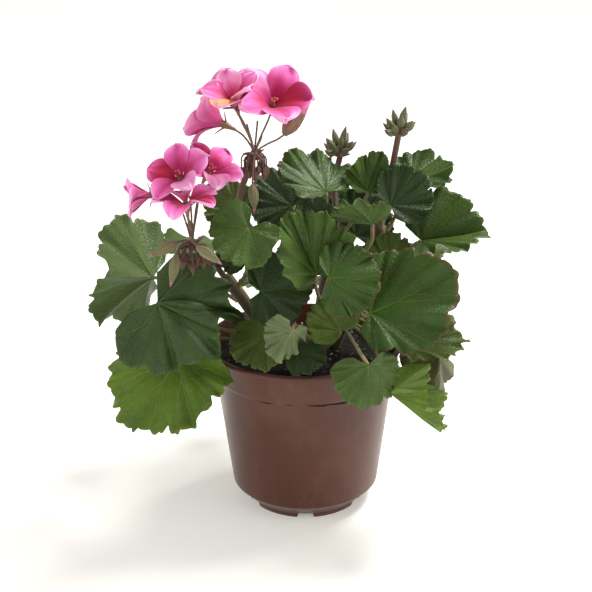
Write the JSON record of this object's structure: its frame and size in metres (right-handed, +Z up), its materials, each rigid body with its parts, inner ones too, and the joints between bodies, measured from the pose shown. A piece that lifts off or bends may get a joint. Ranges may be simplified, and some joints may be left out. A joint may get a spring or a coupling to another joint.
{
  "type": "potted geranium",
  "caption": "Flowering zonal geranium with round scalloped leaves and pink flower heads, growing in soil in a round tapered plastic nursery pot.",
  "frame": {"origin": "on the pot's axis, on the surface that the pot stands on", "axes": "+Z up, along the pot's axis and the plant's height; -Y is the front, where the largest leaves face; +X is to the right seen from the front"},
  "size_m": [0.2552, 0.2036, 0.2929],
  "materials": {
    "pot": "thin brown plastic, slightly glossy, with dusty water marks",
    "soil": "dark moist peat compost with pale grains",
    "stem": "fleshy green stem, browner and woodier at its foot",
    "leaf": "matt downy green with paler veins",
    "dried_leaf": "dull olive, curling and turning brown",
    "flower_stalk": "red-brown and finely hairy",
    "petal": "soft pink with a crimson heart",
    "bud": "hairy olive green with pink tips"
  },
  "bodies": {
    "root": {"pot": "pot", "soil": "soil", "stem_left": "stem", "stem_back": "stem", "stem_centre": "stem", "stem_right": "stem", "stem_front": "stem", "leaf_left_front": "leaf", "leaf_left_low": "leaf", "leaf_left_back": "leaf", "leaf_left_inner": "leaf", "leaf_behind_flowers": "leaf", "leaf_left_shaded": "leaf", "leaf_upper_shaded": "leaf", "leaf_top_fan": "leaf", "leaf_top_ruffled": "leaf", "leaf_top_small": "leaf", "leaf_young_cup": "leaf", "leaf_centre_diagonal": "leaf", "leaf_centre_ruffled": "leaf", "leaf_centre_dark": "leaf", "leaf_pale_crumpled": "leaf", "leaf_low_left": "leaf", "leaf_low_centre": "leaf", "leaf_yellow_green": "leaf", "leaf_right_large": "leaf", "leaf_right_under": "leaf", "leaf_right_hanging": "leaf", "leaf_right_trailing": "leaf", "leaf_right_withered": "dried_leaf", "leaf_right_reaching": "leaf", "leaf_right_olive": "leaf", "leaf_right_upright": "leaf", "leaf_right_top": "leaf", "leaf_inner_dark": "leaf", "leaf_back_left": "leaf", "leaf_back_low": "leaf", "leaf_back_high": "leaf", "leaf_back_right": "leaf", "flower_stalks_upper": "flower_stalk", "flower_stalks_left": "flower_stalk", "flower_stalks_right": "flower_stalk", "flower_stalks_middle": "flower_stalk", "bracts_upper": "flower_stalk", "bracts_left": "flower_stalk", "bud_cluster_right": "bud", "bud_cluster_middle": "bud", "floret_upper_left": "petal", "floret_upper_back": "petal", "floret_upper_middle": "petal", "floret_upper_right": "petal", "floret_left_front": "petal", "floret_left_inner": "petal", "floret_left_lower": "petal", "floret_left_outer": "petal", "bud_upper_opening": "bud", "bud_upper_hanging": "bud", "bud_left_outer": "bud", "bud_left_hanging": "bud", "bud_left_inner": "bud"}
  },
  "joints": []
}
